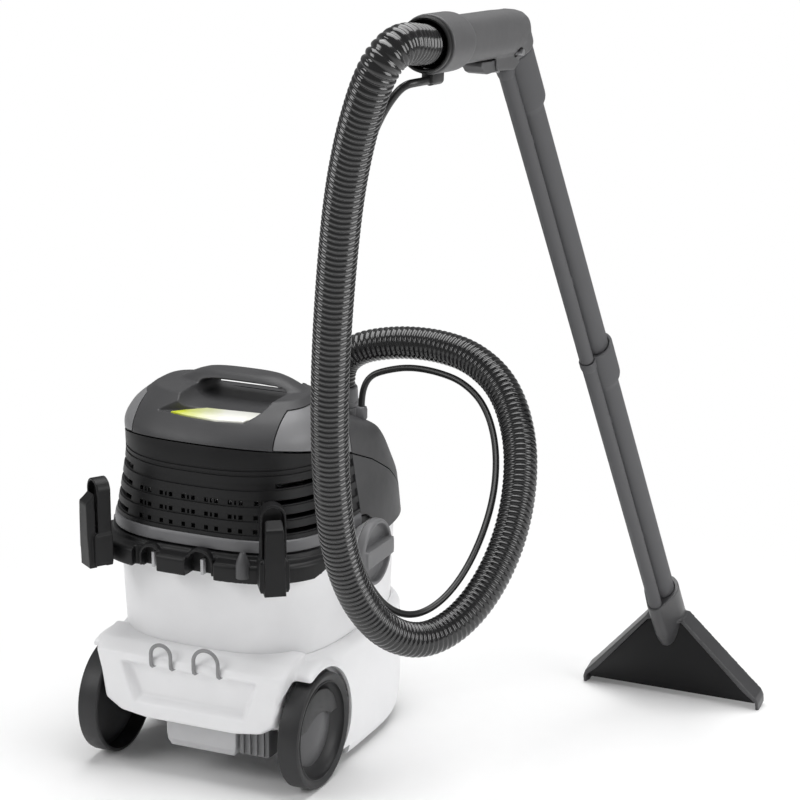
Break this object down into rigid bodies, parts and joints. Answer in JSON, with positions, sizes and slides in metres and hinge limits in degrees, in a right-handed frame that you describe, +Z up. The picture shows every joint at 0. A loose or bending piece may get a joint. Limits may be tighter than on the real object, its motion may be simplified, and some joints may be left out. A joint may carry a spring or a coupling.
{
  "type": "carpet cleaner machine",
  "caption": "Spray-extraction carpet cleaner: wheeled white container, dark motor head, corrugated suction hose, trigger handle, two-piece wand and wide floor nozzle.",
  "frame": {"origin": "on the floor at the bottom centre of the box round the machine, handle, wand and nozzle, without the two hoses", "axes": "+Z up; +Y towards the machine's front, away from its handle and cord hooks; +X to the machine's right, where the wand stands"},
  "size_m": [0.716, 0.8846, 0.9839],
  "materials": {
    "white_shell": "moulded, light grey-white",
    "black_shell": "fine-grained black",
    "dark_shell": "fine-grained dark grey",
    "grey_trim": "fine-grained mid grey",
    "light_grey": "light grey",
    "tyre_rubber": "black wheel plastic",
    "steel": "turned",
    "hose_plastic": "corrugated, glossy black",
    "spray_rubber": "smooth black",
    "wand_plastic": "satin dark grey",
    "nozzle_black": "satin black",
    "badge": "yellow to white",
    "tank_clear": "frosted",
    "seal_rubber": "soft",
    "brass": "machined"
  },
  "bodies": {
    "chassis": {"container": "white_shell", "chassis_skirt": "white_shell", "base_plate": "light_grey", "sump_box": "light_grey", "pump_cover": "grey_trim", "cord_hooks": "grey_trim", "rear_axle": "steel", "accessory_carrier": "black_shell", "tube_posts": "black_shell"},
    "wheel_left": {"wheel_left": "tyre_rubber", "hub_cap_left": "dark_shell"},
    "wheel_right": {"wheel_right": "tyre_rubber", "hub_cap_right": "dark_shell"},
    "caster_left": {"caster_fork_left": "black_shell"},
    "caster_right": {"caster_fork_right": "black_shell"},
    "caster_roller_left": {"caster_wheel_left": "tyre_rubber"},
    "caster_roller_right": {"caster_wheel_right": "tyre_rubber"},
    "knob_left": {"latch_knob_left": "grey_trim"},
    "knob_right": {"latch_knob_right": "grey_trim"},
    "head": {"louvre_housing": "black_shell", "side_shells": "dark_shell", "rim_band": "grey_trim", "head_floor": "black_shell", "head_seal": "seal_rubber", "top_cover": "dark_shell", "badge_plate": "badge", "front_upper_shell": "dark_shell", "turbine_housing": "black_shell", "motor": "steel", "float_cage": "black_shell", "inlet_pipe": "black_shell", "fresh_water_tank": "tank_clear", "spray_pump": "black_shell", "cord_gland": "black_shell", "head_screws": "steel", "hose_sockets": "grey_trim"},
    "rotor": {"turbine_fan": "light_grey", "motor_shaft": "steel"},
    "float": {"float_ball": "light_grey"},
    "lid": {"filler_lid": "dark_shell"},
    "spray_key": {"spray_switch": "grey_trim"},
    "vacuum_key": {"vacuum_switch": "grey_trim"},
    "hose_set": {"hose_coupling": "grey_trim", "spray_coupling": "grey_trim", "suction_hose": "hose_plastic", "spray_hose": "spray_rubber", "handle_shell_left": "wand_plastic", "handle_shell_right": "wand_plastic", "hose_collar": "nozzle_black", "handle_pins": "steel", "spray_valve": "grey_trim"},
    "trigger": {"spray_trigger": "wand_plastic"},
    "upper_wand": {"upper_tube": "wand_plastic", "upper_spray_line": "wand_plastic"},
    "lower_wand": {"lower_tube": "wand_plastic", "lower_spray_line": "wand_plastic"},
    "nozzle": {"nozzle_body": "wand_plastic", "nozzle_face": "nozzle_black", "spray_jet": "brass"}
  },
  "joints": [
    {"name": "wheel_spin_left", "type": "hinge", "parent": "chassis", "child": "wheel_left", "pos_m": [-0.319, -0.05959, 0.0704], "axis": [1, 0, 0], "continuous": true},
    {"name": "caster_swivel_left", "type": "hinge", "parent": "chassis", "child": "caster_left", "pos_m": [-0.262, 0.16741, 0.06], "axis": [0, 0, 1], "continuous": true},
    {"name": "caster_spin_left", "type": "hinge", "parent": "caster_left", "child": "caster_roller_left", "pos_m": [-0.262, 0.15341, 0.021], "axis": [1, 0, 0], "continuous": true},
    {"name": "knob_turn_left", "type": "hinge", "parent": "chassis", "child": "knob_left", "pos_m": [-0.344, 0.04741, 0.262], "axis": [1, 0, 0], "range_deg": [0, 90]},
    {"name": "wheel_spin_right", "type": "hinge", "parent": "chassis", "child": "wheel_right", "pos_m": [-0.049, -0.05959, 0.0704], "axis": [1, 0, 0], "continuous": true},
    {"name": "caster_swivel_right", "type": "hinge", "parent": "chassis", "child": "caster_right", "pos_m": [-0.106, 0.16741, 0.06], "axis": [0, 0, 1], "continuous": true},
    {"name": "caster_spin_right", "type": "hinge", "parent": "caster_right", "child": "caster_roller_right", "pos_m": [-0.106, 0.15341, 0.021], "axis": [1, 0, 0], "continuous": true},
    {"name": "knob_turn_right", "type": "hinge", "parent": "chassis", "child": "knob_right", "pos_m": [-0.024, 0.04741, 0.262], "axis": [1, 0, 0], "range_deg": [0, 90]},
    {"name": "head_lift", "type": "slide", "parent": "chassis", "child": "head", "axis": [0, 0, 1], "range_m": [0, 0.08]},
    {"name": "rotor_spin", "type": "hinge", "parent": "head", "child": "rotor", "pos_m": [-0.184, -0.00759, 0.33], "axis": [0, 0, 1], "continuous": true},
    {"name": "float_rise", "type": "slide", "parent": "head", "child": "float", "axis": [0, 0, 1], "range_m": [0, 0.018]},
    {"name": "lid_open", "type": "hinge", "parent": "head", "child": "lid", "pos_m": [-0.219, 0.07821, 0.433], "axis": [1, 0, 0], "range_deg": [0, 95]},
    {"name": "spray_switch_press", "type": "slide", "parent": "head", "child": "spray_key", "axis": [0, 0, -1], "range_m": [0, 0.0025], "stiffness_N_per_m": 900, "springref_m": -0.002},
    {"name": "vacuum_switch_press", "type": "slide", "parent": "head", "child": "vacuum_key", "axis": [0, 0, -1], "range_m": [0, 0.0025], "stiffness_N_per_m": 900, "springref_m": -0.002},
    {"name": "hose_pull", "type": "slide", "parent": "head", "child": "hose_set", "axis": [0, 0, 1], "range_m": [0, 0.06]},
    {"name": "trigger_squeeze", "type": "hinge", "parent": "hose_set", "child": "trigger", "pos_m": [0.243, -0.24157, 0.90669], "axis": [-1, 0, 0], "range_deg": [0, 6], "stiffness_Nm_per_rad": 0.6, "springref_deg": -11.46},
    {"name": "upper_tube_pull", "type": "slide", "parent": "hose_set", "child": "upper_wand", "axis": [0, 0.558, -0.8298], "range_m": [0, 0.04]},
    {"name": "lower_tube_pull", "type": "slide", "parent": "upper_wand", "child": "lower_wand", "axis": [0, 0.558, -0.8298], "range_m": [0, 0.04]},
    {"name": "nozzle_pull", "type": "slide", "parent": "lower_wand", "child": "nozzle", "axis": [0, 0.558, -0.8298], "range_m": [0, 0.04]}
  ]
}
